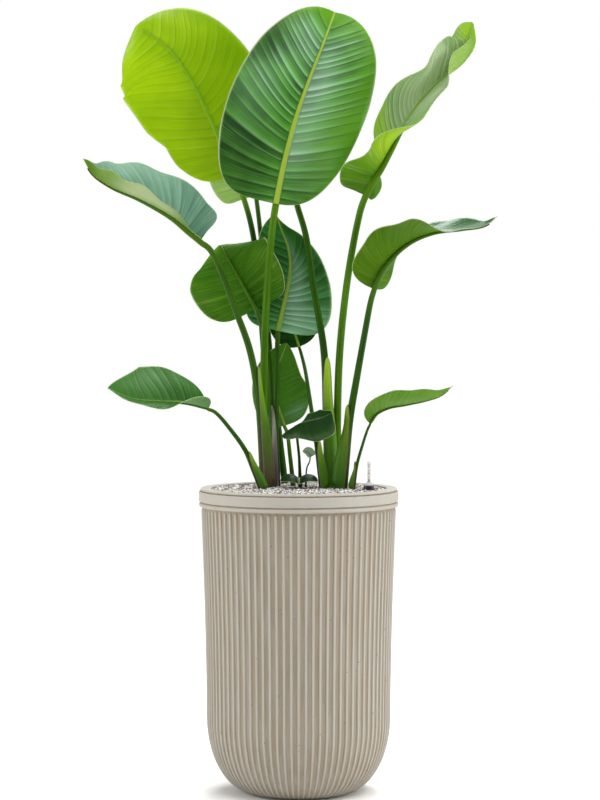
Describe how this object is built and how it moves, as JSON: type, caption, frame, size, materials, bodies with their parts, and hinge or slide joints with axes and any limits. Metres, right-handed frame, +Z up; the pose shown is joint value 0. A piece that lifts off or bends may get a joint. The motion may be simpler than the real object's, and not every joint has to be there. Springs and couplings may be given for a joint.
{
  "type": "potted giant bird of paradise plant in a self-watering floor planter",
  "caption": "Tall bird of paradise plant with paddle leaves on long stalks, growing in mineral granules in a ribbed round floor planter with a water level gauge.",
  "frame": {"origin": "centre of the planter's flat foot, on the floor", "axes": "+Z up along the planter's axis; the front is towards -Y"},
  "size_m": [0.7239, 0.4155, 1.4268],
  "materials": {
    "planter": "matt fibre-clay, fine vertical ribs, greige",
    "granules": "loose mineral granules, pumice, zeolite and lava, dry",
    "leaf_green": "living leaf, satin, pleated along its veins",
    "leaf_bright": "living leaf lit through, seen from below, satin",
    "leaf_pale": "living leaf lit through, pale, satin",
    "leaf_grey_green": "living leaf, bloomed underside, satin",
    "leaf_blue_green": "living leaf, glossy upper side, blue-green",
    "leaf_mid_green": "living leaf, underside, satin",
    "leaf_dark": "living leaf in shade, glossy",
    "leaf_young": "young leaf, pale, matt",
    "petiole": "living stalk, smooth, satin, purple-grey sheath margins",
    "gauge_dark_plastic": "moulded plastic, satin, aubergine",
    "gauge_clear_plastic": "clear moulded plastic",
    "gauge_red_plastic": "moulded plastic, red tip"
  },
  "bodies": {
    "pot_and_plant": {"planter": "planter", "substrate": "granules", "leaf_crown_blade": "leaf_green", "leaf_crown_stalk": "petiole", "leaf_upper_left_blade": "leaf_bright", "leaf_upper_left_stalk": "petiole", "leaf_back_left_blade": "leaf_pale", "leaf_back_left_stalk": "petiole", "leaf_back_blade": "leaf_green", "leaf_back_stalk": "petiole", "leaf_upper_right_blade": "leaf_grey_green", "leaf_upper_right_stalk": "petiole", "leaf_left_blade": "leaf_blue_green", "leaf_left_stalk": "petiole", "leaf_right_blade": "leaf_mid_green", "leaf_right_stalk": "petiole", "leaf_mid_left_blade": "leaf_mid_green", "leaf_mid_left_stalk": "petiole", "leaf_middle_blade": "leaf_dark", "leaf_middle_stalk": "petiole", "leaf_inner_blade": "leaf_dark", "leaf_inner_stalk": "petiole", "leaf_lower_middle_blade": "leaf_mid_green", "leaf_lower_middle_stalk": "petiole", "leaf_low_left_blade": "leaf_green", "leaf_low_left_stalk": "petiole", "leaf_low_right_blade": "leaf_mid_green", "leaf_low_right_stalk": "petiole", "leaf_cupped_blade": "leaf_dark", "leaf_cupped_stalk": "petiole", "leaf_seedling_blade": "leaf_dark", "leaf_seedling_stalk": "petiole", "leaf_sprout_blade": "leaf_young", "leaf_sprout_stalk": "petiole", "gauge_riser": "gauge_dark_plastic", "gauge_sight_tube": "gauge_clear_plastic"},
    "float": {"gauge_float": "gauge_red_plastic"}
  },
  "joints": [
    {"name": "float_slide", "type": "slide", "parent": "pot_and_plant", "child": "float", "axis": [0, 0, 1], "range_m": [0, 0.028]}
  ]
}
